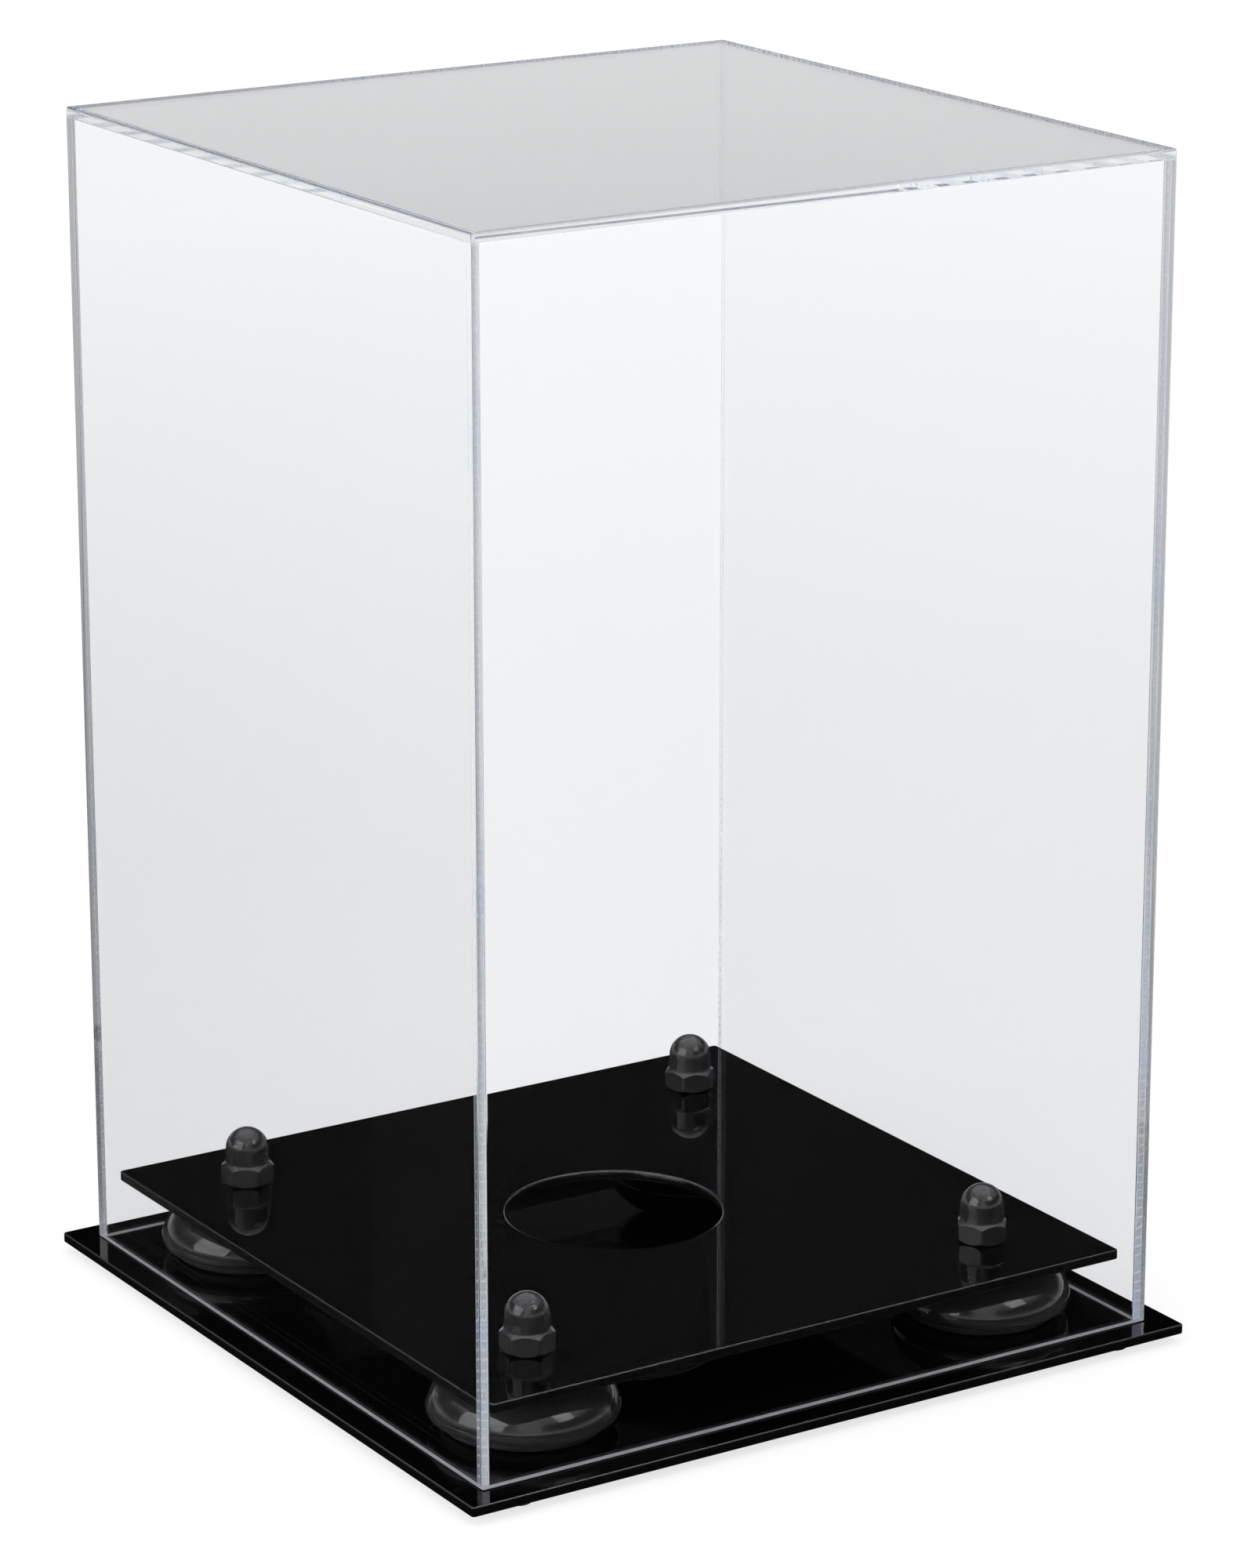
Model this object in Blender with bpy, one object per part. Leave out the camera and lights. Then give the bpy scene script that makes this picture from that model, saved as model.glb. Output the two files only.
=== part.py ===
"""Football display case: a black base plate, a raised platform with a round
seat for the ball, and a clear five-panel cover that lifts straight off.

Blender 4.5, metres, +Z up.  Origin: centre of the footprint, on the surface
that the case stands on.  +Z is the height of the case, -Y is its front.
"""
import math

import bmesh
import bpy
from mathutils import Matrix, Vector

MM = 0.001

# ---------------------------------------------------------------- dimensions
GAP = 0.3 * MM                 # air left between pieces that touch

FOOT_D = 8.0 * MM              # bumper feet under the base
FOOT_H = 2.2 * MM
FOOT_INSET_X = 18.0 * MM       # foot axis to the side edge of the base
FOOT_INSET_Y = 7.5 * MM        # foot axis to the front or back edge

BASE_SIDE = 225.0 * MM         # square base plate
BASE_T = 2.7 * MM
PLATE_CORNER_R = 1.0 * MM      # plan radius of the plates' corners
PLATE_ARRIS = 0.35 * MM        # polished chamfer round the plates' faces

PLATFORM_SIDE = 198.0 * MM     # raised platform, just inside the cover
PLATFORM_T = 2.7 * MM
PLATFORM_TOP = 20.5 * MM       # above the base plate's top face
SEAT_D = 60.0 * MM             # round hole that the ball's end stands in
SEAT_ARRIS = 0.6 * MM
STUD_PITCH = 145.0 * MM        # square pattern of the four risers

STUD_D = 7.8 * MM              # M8 stud moulded into each riser
STUD_HOLE_D = 8.6 * MM
RISER_D = 48.6 * MM            # domed riser under each corner
RISER_SOLE_GAP = 3.4 * MM      # height of the riser's rim above the base plate
SOLE_D = 41.0 * MM             # rubber sole let into the riser
SOLE_RECESS = 2.4 * MM

NUT_AF = 13.0 * MM             # across flats
NUT_HEX_H = 5.7 * MM
NUT_H = 15.6 * MM
NUT_DOME_D = 12.0 * MM
NUT_BORE_D = 8.4 * MM
NUT_BORE_H = 12.0 * MM

COVER_SIDE = 210.0 * MM        # outside of the clear cover
COVER_H = 321.0 * MM
COVER_T = 3.0 * MM             # wall and top thickness
COVER_ARRIS = 0.4 * MM

# ------------------------------------------------------------------- levels
Z_BASE_BOTTOM = FOOT_H + GAP
Z_BASE_TOP = Z_BASE_BOTTOM + BASE_T
Z_PLAT_TOP = Z_BASE_TOP + PLATFORM_TOP
Z_PLAT_BOTTOM = Z_PLAT_TOP - PLATFORM_T
Z_SOLE_BOTTOM = Z_BASE_TOP + GAP
Z_RISER_BOTTOM = Z_BASE_TOP + RISER_SOLE_GAP
Z_RISER_TOP = Z_PLAT_BOTTOM - GAP
Z_NUT_BOTTOM = Z_PLAT_TOP + GAP
Z_STUD_BOTTOM = Z_RISER_BOTTOM + SOLE_RECESS + 2.0 * MM
Z_STUD_TOP = Z_NUT_BOTTOM + 11.2 * MM
Z_COVER_BOTTOM = Z_BASE_TOP + GAP
Z_COVER_TOP = Z_COVER_BOTTOM + COVER_H

CORNERS = {
    "front_left": (-1, -1),
    "front_right": (1, -1),
    "back_left": (-1, 1),
    "back_right": (1, 1),
}
NUT_TURN_DEG = {               # each nut stops at its own angle when tight
    "front_left": -5.4,
    "front_right": 23.6,
    "back_left": -3.0,
    "back_right": 12.0,
}


# ------------------------------------------------------------------ helpers
def clear_scene():
    for obj in list(bpy.data.objects):
        bpy.data.objects.remove(obj, do_unlink=True)


def principled(name, colour, roughness, metallic=0.0, transmission=0.0, ior=1.49):
    mat = bpy.data.materials.new(name)
    mat.use_nodes = True
    bsdf = mat.node_tree.nodes["Principled BSDF"]
    bsdf.inputs["Base Color"].default_value = (*colour, 1.0)
    bsdf.inputs["Roughness"].default_value = roughness
    bsdf.inputs["Metallic"].default_value = metallic
    bsdf.inputs["Transmission Weight"].default_value = transmission
    bsdf.inputs["IOR"].default_value = ior
    return mat


def add_object(name, mesh, material, location=(0, 0, 0), turn=0.0, parent=None):
    obj = bpy.data.objects.new(name, mesh)
    bpy.context.scene.collection.objects.link(obj)
    obj.location = location
    obj.rotation_euler = (0, 0, turn)
    if parent is not None:
        obj.parent = parent
    if not mesh.materials:
        mesh.materials.append(material)
    return obj


def mesh_from(bm, name, smooth_deg=None):
    bmesh.ops.recalc_face_normals(bm, faces=bm.faces)
    mesh = bpy.data.meshes.new(name)
    bm.to_mesh(mesh)
    bm.free()
    if smooth_deg is not None:
        mesh.shade_smooth()
        mesh.set_sharp_from_angle(angle=math.radians(smooth_deg))
    return mesh


def turned(name, profile, segments, smooth_deg=35.0):
    """Solid of revolution about Z.  profile: (r, z) points, either closed
    round a bore or starting and ending on the axis."""
    bm = bmesh.new()
    verts = [bm.verts.new((r, 0.0, z)) for r, z in profile]
    on_axis = profile[0][0] < 1e-9 and profile[-1][0] < 1e-9
    edges = [bm.edges.new((verts[i], verts[i + 1])) for i in range(len(verts) - 1)]
    if not on_axis:
        edges.append(bm.edges.new((verts[-1], verts[0])))
    bmesh.ops.spin(bm, geom=verts + edges, cent=(0, 0, 0), axis=(0, 0, 1), dvec=(0, 0, 0),
                   angle=2 * math.pi, steps=segments, use_merge=True, use_duplicate=False)
    bmesh.ops.remove_doubles(bm, verts=bm.verts, dist=1e-6)
    bmesh.ops.dissolve_degenerate(bm, dist=1e-6, edges=bm.edges)
    return mesh_from(bm, name, smooth_deg)


def rounded_square(side, radius, per_corner=4):
    """Outline points of a square with rounded corners, counter-clockwise."""
    h = side / 2 - radius
    points = []
    for k, (sx, sy) in enumerate(((1, 1), (-1, 1), (-1, -1), (1, -1))):
        for i in range(per_corner + 1):
            a = math.pi / 2 * (k + i / per_corner)
            points.append((sx * h + radius * math.cos(a), sy * h + radius * math.sin(a)))
    return points


def circle(radius, segments, centre=(0.0, 0.0)):
    return [(centre[0] + radius * math.cos(2 * math.pi * i / segments),
             centre[1] + radius * math.sin(2 * math.pi * i / segments)) for i in range(segments)]


def plate(name, side, thickness, corner_r, arris, holes):
    """Flat square plate, bottom face at z = 0, with a chamfer round both faces.
    holes: (radius, centre, segments, arris) each, cut straight through."""
    bm = bmesh.new()
    loops_bottom, loops_top = [], []

    def wall(outlines):
        rings = []
        for outline, z in outlines:
            ring = [bm.verts.new((x, y, z)) for x, y in outline]
            rings.append(ring)
        n = len(rings[0])
        for low, high in zip(rings, rings[1:]):
            for i in range(n):
                j = (i + 1) % n
                bm.faces.new((low[i], low[j], high[j], high[i]))
        for ring, loops in ((rings[0], loops_bottom), (rings[-1], loops_top)):
            loops.extend(bm.edges.get((ring[i], ring[(i + 1) % n])) for i in range(n))

    outer = rounded_square(side, corner_r)
    inner = rounded_square(side - 2 * arris, corner_r - arris)
    wall([(inner, 0.0), (outer, arris), (outer, thickness - arris), (inner, thickness)])
    for radius, centre, segments, hole_arris in holes:
        wide = circle(radius + hole_arris, segments, centre)
        bore = circle(radius, segments, centre)
        wall([(wide, 0.0), (bore, hole_arris), (bore, thickness - hole_arris), (wide, thickness)])
    bmesh.ops.triangle_fill(bm, use_beauty=True, use_dissolve=False, edges=loops_bottom)
    bmesh.ops.triangle_fill(bm, use_beauty=True, use_dissolve=False, edges=loops_top)
    return mesh_from(bm, name)


def boolean_mesh(name, start, steps):
    """start and the tools in steps are meshes; returns the resulting mesh."""
    body = bpy.data.objects.new(name + "_work", start)
    bpy.context.scene.collection.objects.link(body)
    tools = []
    for i, (operation, tool_mesh) in enumerate(steps):
        tool = bpy.data.objects.new(f"{name}_tool_{i}", tool_mesh)
        bpy.context.scene.collection.objects.link(tool)
        tool.hide_render = True
        tool.display_type = "WIRE"
        tools.append(tool)
        mod = body.modifiers.new(operation.title(), "BOOLEAN")
        mod.operation = operation
        mod.solver = "EXACT"
        mod.object = tool
    depsgraph = bpy.context.evaluated_depsgraph_get()
    result = bpy.data.meshes.new_from_object(body.evaluated_get(depsgraph))
    result.name = name
    for obj in [body] + tools:
        bpy.data.objects.remove(obj, do_unlink=True)
    return result


def hexagon_prism(name, across_flats, height):
    """Regular prism, base at z = 0, one flat facing +X."""
    bm = bmesh.new()
    r = across_flats / 2 / math.cos(math.radians(30))
    ring = [bm.verts.new((r * math.cos(math.radians(30 + 60 * i)),
                          r * math.sin(math.radians(30 + 60 * i)), 0.0)) for i in range(6)]
    base = bm.faces.new(ring)
    out = bmesh.ops.extrude_face_region(bm, geom=[base])
    top = [v for v in out["geom"] if isinstance(v, bmesh.types.BMVert)]
    bmesh.ops.translate(bm, verts=top, vec=(0, 0, height))
    return mesh_from(bm, name)


# -------------------------------------------------------------- piece meshes
def make_foot_mesh():
    r = FOOT_D / 2
    dome = []
    for i in range(4):
        a = math.pi / 2 * i / 4
        dome.append((r - 1.3 * MM + 1.3 * MM * math.cos(a), 1.3 * MM - 1.3 * MM * math.sin(a)))
    profile = [(0.0, FOOT_H), (r, FOOT_H), (r, 1.6 * MM)] + dome + [(r - 1.4 * MM, 0.0), (0.0, 0.0)]
    return turned("bumper_foot", profile, 20)


def make_riser_profile():
    """Dome with a turned-in rim, a recess for its sole and a bore for the stud.
    z = 0 is the underside of the rim."""
    r = RISER_D / 2
    top = Z_RISER_TOP - Z_RISER_BOTTOM
    waist = 1.7 * MM                       # height of the widest line
    rise = top - waist + 0.4 * MM
    profile = [(r - 1.3 * MM, 0.0), (r - 0.35 * MM, 0.45 * MM), (r, waist)]
    steps = 6
    for i in range(1, steps + 1):
        a = math.radians(75.0) * i / steps
        profile.append((r * math.cos(a) ** 0.92, waist + rise * math.sin(a)))
    r_last, z_last = profile[-1]
    profile += [(r_last - 1.2 * MM, top), (STUD_HOLE_D / 2, top),
                (STUD_HOLE_D / 2, SOLE_RECESS + 1.4 * MM)]
    profile += [(0.0, SOLE_RECESS + 1.4 * MM), (0.0, SOLE_RECESS),
                (SOLE_D / 2 + GAP, SOLE_RECESS), (SOLE_D / 2 + GAP, 0.0)]
    return profile


def make_stud_profile():
    r = STUD_D / 2
    h = Z_STUD_TOP - Z_STUD_BOTTOM
    c = 0.8 * MM
    return [(0.0, h), (r - c, h), (r, h - c), (r, c), (r - c, 0.0), (0.0, 0.0)]


def make_sole_profile():
    r = SOLE_D / 2
    h = Z_RISER_BOTTOM + SOLE_RECESS - GAP - Z_SOLE_BOTTOM
    return [(0.0, h), (r, h), (r, 0.7 * MM), (r - 0.2 * MM, 0.2 * MM), (r - 0.7 * MM, 0.0), (0.0, 0.0)]


def make_nut_mesh():
    """Hexagon cap nut, seating face at z = 0, blind bore from below."""
    corner_r = NUT_AF / 2 / math.cos(math.radians(30))
    flat_r = NUT_AF / 2
    dome_r = NUT_DOME_D / 2
    prism = hexagon_prism("nut_prism", NUT_AF, NUT_HEX_H)
    # cone chamfers over and under the corners, overlapping the prism's ends
    envelope = turned("nut_envelope", [
        (0.0, NUT_HEX_H + 1 * MM), (flat_r - 0.55 * MM, NUT_HEX_H + 1 * MM),
        (flat_r - 0.55 * MM, NUT_HEX_H), (corner_r + 0.6 * MM, NUT_HEX_H - 1.5 * MM),
        (corner_r + 0.6 * MM, 0.9 * MM), (flat_r + 0.15 * MM, 0.0),
        (flat_r + 0.15 * MM, -1 * MM), (0.0, -1 * MM)], 36)
    straight = NUT_H - dome_r
    dome = [(0.0, NUT_HEX_H - 1 * MM), (dome_r, NUT_HEX_H - 1 * MM), (dome_r, straight)]
    for i in range(1, 7):
        a = math.pi / 2 * i / 6
        dome.append((dome_r * math.cos(a) if i < 6 else 0.0, straight + dome_r * math.sin(a)))
    dome_mesh = turned("nut_dome", dome, 30)
    r = NUT_BORE_D / 2
    bore_mesh = turned("nut_bore", [
        (0.0, NUT_BORE_H + 1.6 * MM), (r, NUT_BORE_H), (r, 0.7 * MM), (r + 0.7 * MM, 0.0),
        (r + 0.7 * MM, -1 * MM), (0.0, -1 * MM)], 20)
    mesh = boolean_mesh("cap_nut", prism, [
        ("INTERSECT", envelope), ("UNION", dome_mesh), ("DIFFERENCE", bore_mesh)])
    mesh.shade_smooth()
    mesh.set_sharp_from_angle(angle=math.radians(25))
    return mesh


def panel(name, size, arris):
    """Flat sheet centred on the origin, all edges with a small polished chamfer."""
    bm = bmesh.new()
    bmesh.ops.create_cube(bm, size=1.0)
    bmesh.ops.scale(bm, vec=Vector(size), verts=bm.verts)
    bmesh.ops.bevel(bm, geom=list(bm.edges), offset=arris, offset_type="OFFSET", segments=1,
                    profile=0.5, affect="EDGES")
    return mesh_from(bm, name)


# ------------------------------------------------------------------ assembly
def build():
    clear_scene()

    black = principled("black_acrylic", (0.006, 0.006, 0.007), 0.06)
    clear = principled("clear_acrylic", (0.97, 0.98, 0.98), 0.02, transmission=1.0)
    grey = principled("riser_plastic", (0.045, 0.046, 0.047), 0.18)
    nut_grey = principled("nut_plastic", (0.05, 0.051, 0.052), 0.22)
    rubber = principled("foot_rubber", (0.012, 0.012, 0.012), 0.75)
    sole_rubber = principled("sole_rubber", (0.01, 0.01, 0.01), 0.8)
    steel = principled("stud_steel", (0.55, 0.55, 0.56), 0.3, metallic=1.0)

    # base plate on its four bumper feet
    base_mesh = plate("base_plate", BASE_SIDE, BASE_T, PLATE_CORNER_R, PLATE_ARRIS, [])
    add_object("base_plate", base_mesh, black, (0, 0, Z_BASE_BOTTOM))

    foot_mesh = make_foot_mesh()
    for corner, (sx, sy) in CORNERS.items():
        add_object("bumper_foot_" + corner, foot_mesh, rubber,
                   (sx * (BASE_SIDE / 2 - FOOT_INSET_X), sy * (BASE_SIDE / 2 - FOOT_INSET_Y), 0.0))

    # four domed risers with a moulded-in stud, each on its rubber sole
    riser_mesh = turned("riser", make_riser_profile(), 40, smooth_deg=30)
    sole_mesh = turned("riser_sole", make_sole_profile(), 30)
    stud_mesh = turned("riser_stud", make_stud_profile(), 20)
    nut_mesh = make_nut_mesh()
    half = STUD_PITCH / 2
    for corner, (sx, sy) in CORNERS.items():
        x, y = sx * half, sy * half
        add_object("riser_sole_" + corner, sole_mesh, sole_rubber, (x, y, Z_SOLE_BOTTOM))
        add_object("riser_" + corner, riser_mesh, grey, (x, y, Z_RISER_BOTTOM))
        add_object("riser_stud_" + corner, stud_mesh, steel, (x, y, Z_STUD_BOTTOM))
        add_object("cap_nut_" + corner, nut_mesh, nut_grey, (x, y, Z_NUT_BOTTOM),
                   turn=math.radians(NUT_TURN_DEG[corner]))

    # platform: round seat in the middle, one hole over each riser
    holes = [(SEAT_D / 2, (0.0, 0.0), 64, SEAT_ARRIS)]
    holes += [(STUD_HOLE_D / 2, (sx * half, sy * half), 20, 0.2 * MM) for sx, sy in CORNERS.values()]
    platform_mesh = plate("platform", PLATFORM_SIDE, PLATFORM_T, PLATE_CORNER_R, PLATE_ARRIS, holes)
    add_object("platform", platform_mesh, black, (0, 0, Z_PLAT_BOTTOM))

    # clear cover: it lifts along Z, so its frame sits on that axis
    cover = bpy.data.objects.new("cover_frame", None)
    bpy.context.scene.collection.objects.link(cover)
    cover.location = (0, 0, Z_COVER_BOTTOM)
    wall_h = COVER_H - COVER_T - GAP
    mid = COVER_SIDE / 2 - COVER_T / 2
    top_mesh = panel("cover_top", (COVER_SIDE, COVER_SIDE, COVER_T), COVER_ARRIS)
    long_mesh = panel("cover_long_wall", (COVER_SIDE, COVER_T, wall_h), COVER_ARRIS)
    short_mesh = panel("cover_short_wall", (COVER_T, COVER_SIDE - 2 * (COVER_T + GAP), wall_h), COVER_ARRIS)
    add_object("cover_top", top_mesh, clear, (0, 0, COVER_H - COVER_T / 2), parent=cover)
    add_object("cover_front", long_mesh, clear, (0, -mid, wall_h / 2), parent=cover)
    add_object("cover_back", long_mesh, clear, (0, mid, wall_h / 2), parent=cover)
    add_object("cover_left", short_mesh, clear, (-mid, 0, wall_h / 2), parent=cover)
    add_object("cover_right", short_mesh, clear, (mid, 0, wall_h / 2), parent=cover)

    bpy.context.view_layer.update()


build()
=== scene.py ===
import math

import bmesh
import bpy
from mathutils import Matrix, Vector


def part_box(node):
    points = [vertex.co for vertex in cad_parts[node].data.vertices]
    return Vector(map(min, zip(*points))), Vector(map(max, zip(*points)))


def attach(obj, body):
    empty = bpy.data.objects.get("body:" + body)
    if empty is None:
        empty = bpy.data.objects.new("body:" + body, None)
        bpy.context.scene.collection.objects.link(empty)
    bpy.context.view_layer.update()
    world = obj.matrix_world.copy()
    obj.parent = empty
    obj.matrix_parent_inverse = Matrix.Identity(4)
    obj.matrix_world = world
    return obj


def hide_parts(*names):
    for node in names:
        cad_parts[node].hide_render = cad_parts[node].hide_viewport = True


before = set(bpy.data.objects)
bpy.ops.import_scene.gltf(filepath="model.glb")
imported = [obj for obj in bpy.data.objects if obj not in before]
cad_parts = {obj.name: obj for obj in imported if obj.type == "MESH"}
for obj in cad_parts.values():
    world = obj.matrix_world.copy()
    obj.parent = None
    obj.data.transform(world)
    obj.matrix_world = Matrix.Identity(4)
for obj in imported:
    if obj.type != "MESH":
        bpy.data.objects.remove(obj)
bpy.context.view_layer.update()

MM = 0.001
scene = bpy.context.scene
CORNERS = ("front_left", "front_right", "back_left", "back_right")


# =====================================================================
#  helpers
# =====================================================================
def link(obj):
    scene.collection.objects.link(obj)
    return obj


def finish_mesh(bm, name, smooth_deg=None, recalc=True, flats=False):
    """flats: broad faces square to the axes keep their own normals, so only
    the small arris facets round off."""
    if recalc:
        bmesh.ops.recalc_face_normals(bm, faces=bm.faces)
    if flats:
        for face in bm.faces:
            face.smooth = True
        for edge in bm.edges:
            if len(edge.link_faces) == 2:
                level = [max(abs(c) for c in f.normal) > 0.9999 for f in edge.link_faces]
                turn = edge.link_faces[0].normal.angle(edge.link_faces[1].normal, 0.0)
                edge.smooth = not (level[0] != level[1] or turn > math.radians(40))
    mesh = bpy.data.meshes.new(name)
    bm.to_mesh(mesh)
    bm.free()
    if smooth_deg is not None:
        mesh.shade_smooth()
        mesh.set_sharp_from_angle(angle=math.radians(smooth_deg))
    return mesh


def make_piece(name, mesh, body, nodes, material):
    """A visual piece that stands for CAD nodes, with its place in its mesh."""
    obj = link(bpy.data.objects.new(name, mesh))
    obj.data.materials.clear()
    obj.data.materials.append(material)
    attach(obj, body)
    if nodes:
        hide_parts(*nodes)
    return obj


def lathe_bm(profile, segments, centre=(0, 0, 0)):
    """Solid of revolution about Z from (r, z) points. The profile starts and
    ends on the axis, or is closed round a bore."""
    bm = bmesh.new()
    on_axis = profile[0][0] < 1e-9 and profile[-1][0] < 1e-9
    cx, cy, cz = centre
    rings = []
    for r, z in profile:
        if r < 1e-9:
            rings.append([bm.verts.new((cx, cy, cz + z))])
        else:
            rings.append([bm.verts.new((cx + r * math.cos(2 * math.pi * i / segments),
                                        cy + r * math.sin(2 * math.pi * i / segments), cz + z))
                          for i in range(segments)])
    pairs = list(zip(rings, rings[1:]))
    if not on_axis:
        pairs.append((rings[-1], rings[0]))
    for a, b in pairs:
        if len(a) == 1 and len(b) == 1:
            continue
        for i in range(segments):
            j = (i + 1) % segments
            if len(a) == 1:
                bm.faces.new((a[0], b[j], b[i]))
            elif len(b) == 1:
                bm.faces.new((a[i], a[j], b[0]))
            else:
                bm.faces.new((a[i], a[j], b[j], b[i]))
    return bm


def arc(cx, cz, r, a0, a1, n):
    """Points of an arc, angles in degrees from +r towards +z."""
    return [(cx + r * math.cos(math.radians(a0 + (a1 - a0) * i / n)),
             cz + r * math.sin(math.radians(a0 + (a1 - a0) * i / n))) for i in range(n + 1)]


# =====================================================================
#  node-material helpers
# =====================================================================
class Nodes:
    def __init__(self, name):
        self.mat = bpy.data.materials.new(name)
        self.mat.use_nodes = True
        self.tree = self.mat.node_tree
        self.tree.nodes.clear()
        self.out = self.tree.nodes.new("ShaderNodeOutputMaterial")

    def new(self, kind, **sockets):
        node = self.tree.nodes.new(kind)
        for key, value in sockets.items():
            self.set(node, key, value)
        return node

    def set(self, node, key, value):
        sock = node.inputs[int(key[1:])] if key[0] == "i" and key[1:].isdigit() else node.inputs[key.replace("_", " ")]
        if isinstance(value, bpy.types.NodeSocket):
            self.tree.links.new(value, sock)
        elif isinstance(value, bpy.types.Node):
            self.tree.links.new(value.outputs[0], sock)
        else:
            sock.default_value = value

    def math(self, op, a, b=None, c=None, clamp=False):
        node = self.tree.nodes.new("ShaderNodeMath")
        node.operation = op
        node.use_clamp = clamp
        for i, v in enumerate((a, b, c)):
            if v is not None:
                self.set(node, f"i{i}", v)
        return node.outputs[0]

    def coords(self):
        """The piece's own coordinates, in metres, as it was built."""
        return self.tree.nodes.new("ShaderNodeTexCoord").outputs["Object"]

    def mapping(self, vector, scale=(1, 1, 1), rotation=(0, 0, 0), location=(0, 0, 0)):
        node = self.tree.nodes.new("ShaderNodeMapping")
        self.set(node, "Vector", vector)
        node.inputs["Scale"].default_value = scale
        node.inputs["Rotation"].default_value = rotation
        node.inputs["Location"].default_value = location
        return node.outputs[0]

    def noise(self, vector, scale, detail=3.0, roughness=0.5, distortion=0.0):
        node = self.tree.nodes.new("ShaderNodeTexNoise")
        self.set(node, "Vector", vector)
        node.inputs["Scale"].default_value = scale
        node.inputs["Detail"].default_value = detail
        node.inputs["Roughness"].default_value = roughness
        node.inputs["Distortion"].default_value = distortion
        return node.outputs["Fac"]

    def voronoi(self, vector, scale, feature="F1", randomness=1.0):
        node = self.tree.nodes.new("ShaderNodeTexVoronoi")
        node.feature = feature
        self.set(node, "Vector", vector)
        node.inputs["Scale"].default_value = scale
        node.inputs["Randomness"].default_value = randomness
        return node

    def ramp(self, fac, stops, interpolation="LINEAR"):
        node = self.tree.nodes.new("ShaderNodeValToRGB")
        node.color_ramp.interpolation = interpolation
        els = node.color_ramp.elements
        while len(els) > 1:
            els.remove(els[-1])
        for k, (pos, col) in enumerate(stops):
            e = els[0] if k == 0 else els.new(pos)
            e.position = pos
            e.color = (col, col, col, 1) if not hasattr(col, "__len__") else (*col[:3], 1)
        self.set(node, "Fac", fac)
        return node.outputs[0]

    def remap(self, value, a0, a1, b0, b1):
        node = self.tree.nodes.new("ShaderNodeMapRange")
        node.clamp = True
        for k, v in (("Value", value), ("From_Min", a0), ("From_Max", a1), ("To_Min", b0), ("To_Max", b1)):
            self.set(node, k, v)
        return node.outputs[0]

    def mix_rgb(self, fac, a, b, blend="MIX"):
        node = self.tree.nodes.new("ShaderNodeMix")
        node.data_type = "RGBA"
        node.blend_type = blend
        for sock, v in ((node.inputs[0], fac), (node.inputs[6], a), (node.inputs[7], b)):
            if isinstance(v, bpy.types.NodeSocket):
                self.tree.links.new(v, sock)
            elif hasattr(v, "__len__"):
                sock.default_value = (*v[:3], 1)
            else:
                sock.default_value = v
        return node.outputs[2]

    def bump(self, height, strength, distance, normal=None):
        node = self.tree.nodes.new("ShaderNodeBump")
        node.inputs["Strength"].default_value = strength
        node.inputs["Distance"].default_value = distance
        self.set(node, "Height", height)
        if normal is not None:
            self.set(node, "Normal", normal)
        return node.outputs[0]

    def surface(self, socket):
        self.tree.links.new(socket, self.out.inputs["Surface"])
        return self.mat


def hairlines(n, vector, scale, length, seed, width=0.03):
    """Fine straight scratches: 1 on a scratch, 0 elsewhere."""
    v = n.mapping(vector, scale=(scale, scale / length, scale), rotation=(0, 0, seed), location=(seed, seed * 0.7, 0))
    w = n.voronoi(v, 1.0, feature="DISTANCE_TO_EDGE")
    line = n.remap(w.outputs["Distance"], 0.0, width, 1.0, 0.0)
    gate = n.remap(n.noise(n.mapping(vector, location=(seed * 3.1, 0, 0)), scale * 0.35, 2.0), 0.56, 0.66, 0.0, 1.0)
    return n.math("MULTIPLY", line, gate)


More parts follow.
